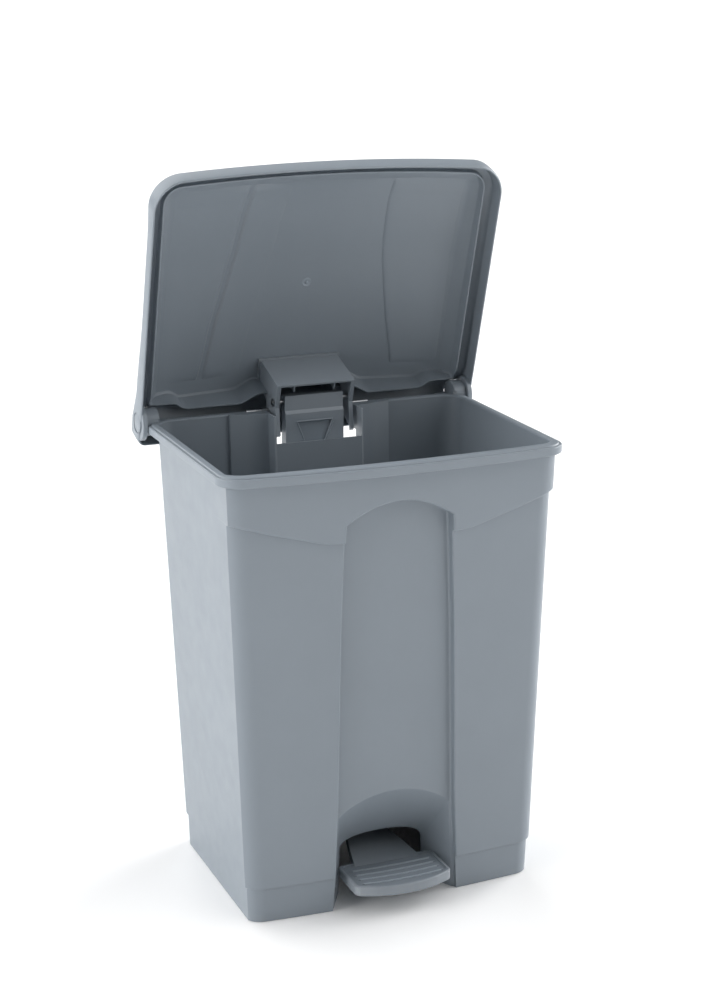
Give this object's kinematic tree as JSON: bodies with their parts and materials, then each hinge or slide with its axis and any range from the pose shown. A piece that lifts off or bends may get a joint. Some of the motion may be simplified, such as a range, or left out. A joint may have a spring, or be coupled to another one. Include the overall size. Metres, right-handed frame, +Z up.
{
  "type": "pedal trash can",
  "caption": "Tapered plastic pedal bin with a hinged domed lid, a rear push rod and a foot pedal in an arched front recess.",
  "frame": {"origin": "on the floor, under the middle of the bounding box with the lid open and the pedal down", "axes": "+Z up, -Y towards the pedal and the front, +X to the right seen from the front"},
  "size_m": [0.5016, 0.4153, 0.974],
  "materials": {
    "bin_plastic": "satin moulded polypropylene, blue grey",
    "lid_plastic": "satin moulded polypropylene, blue grey",
    "mechanism_plastic": "satin moulded polypropylene, blue grey",
    "pedal_plastic": "satin moulded polypropylene, blue grey",
    "bush_nylon": "dark nylon",
    "pin_steel": "drawn or zinc plated steel, satin",
    "screw_steel": "drawn or zinc plated steel, satin"
  },
  "bodies": {
    "bin": {"bin_body": "bin_plastic", "axle_saddle_left": "mechanism_plastic", "axle_saddle_right": "mechanism_plastic", "saddle_screw_1": "screw_steel", "saddle_screw_2": "screw_steel", "saddle_screw_3": "screw_steel", "saddle_screw_4": "screw_steel", "hinge_bush_left": "bush_nylon", "hinge_bush_right": "bush_nylon", "push_rod_guide": "mechanism_plastic"},
    "lid": {"lid_shell": "lid_plastic", "lid_bracket": "mechanism_plastic", "bracket_screw_1": "screw_steel", "bracket_screw_2": "screw_steel", "bracket_screw_3": "screw_steel", "bracket_screw_4": "screw_steel", "crank_pin": "pin_steel", "crank_clip_left": "pin_steel", "crank_clip_right": "pin_steel", "hinge_pin_left": "pin_steel", "hinge_pin_right": "pin_steel", "hinge_cap_left": "lid_plastic", "hinge_cap_right": "lid_plastic", "stub_pin_left": "pin_steel", "stub_pin_right": "pin_steel"},
    "rod": {"push_rod_head": "mechanism_plastic", "push_rod": "pin_steel", "push_rod_foot": "mechanism_plastic", "foot_pin": "pin_steel", "foot_pin_clip_left": "pin_steel", "foot_pin_clip_right": "pin_steel"},
    "pedal": {"pedal": "pedal_plastic", "pedal_axle": "pin_steel", "axle_clip_left": "pin_steel", "axle_clip_right": "pin_steel"}
  },
  "joints": [
    {"name": "lid_hinge", "type": "hinge", "parent": "bin", "child": "lid", "pos_m": [0, 0.1634, 0.6169], "axis": [1, 0, 0], "range_deg": [0, 73.4]},
    {"name": "rod_pivot", "type": "hinge", "parent": "lid", "child": "rod", "pos_m": [0, 0.14231, 0.63305], "axis": [1, 0, 0], "range_deg": [-73.4, 0]},
    {"name": "pedal_pivot", "type": "hinge", "parent": "bin", "child": "pedal", "pos_m": [0, -0.0097, 0.056], "axis": [1, 0, 0], "range_deg": [-14.68, 0]}
  ],
  "couplings": [
    {"joint": "rod_pivot", "follows": "lid_hinge", "ratio": -1},
    {"joint": "pedal_pivot", "follows": "lid_hinge", "ratio": -0.2}
  ]
}
